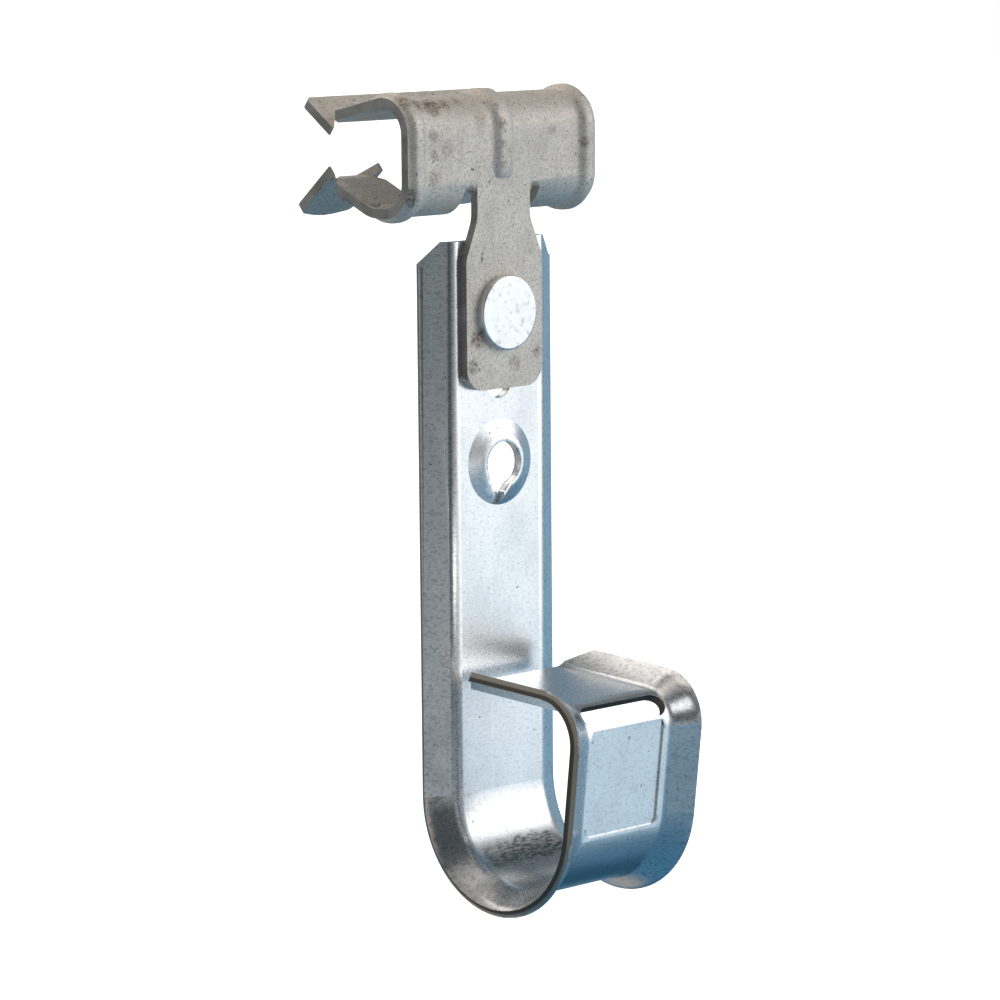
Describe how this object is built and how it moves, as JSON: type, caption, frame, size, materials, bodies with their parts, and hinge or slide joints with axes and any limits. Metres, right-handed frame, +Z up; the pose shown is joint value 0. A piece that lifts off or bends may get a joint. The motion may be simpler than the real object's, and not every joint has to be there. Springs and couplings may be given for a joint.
{
  "type": "j hook cable support",
  "caption": "Sheet metal J hook that carries a bundle of cables, riveted to a toothed spring clip that grips the edge of a beam flange.",
  "frame": {"origin": "middle of the clip's throat on the inner face of its web, where the edge of the beam flange comes to rest", "axes": "+X along the beam, +Y into the beam flange (the cables lie on the -Y side), +Z up"},
  "size_m": [0.0314, 0.0438, 0.0992],
  "materials": {
    "flange_clip": "matt, lightly stained",
    "rivet": "satin zinc",
    "j_hook": "bright galvanised"
  },
  "bodies": {
    "clip": {"flange_clip": "flange_clip", "rivet": "rivet"},
    "hook": {"j_hook": "j_hook"}
  },
  "joints": [
    {"name": "hook_swivel", "type": "hinge", "parent": "clip", "child": "hook", "pos_m": [0, 0, -0.0192], "axis": [0, 1, 0], "range_deg": [-90, 90]}
  ]
}
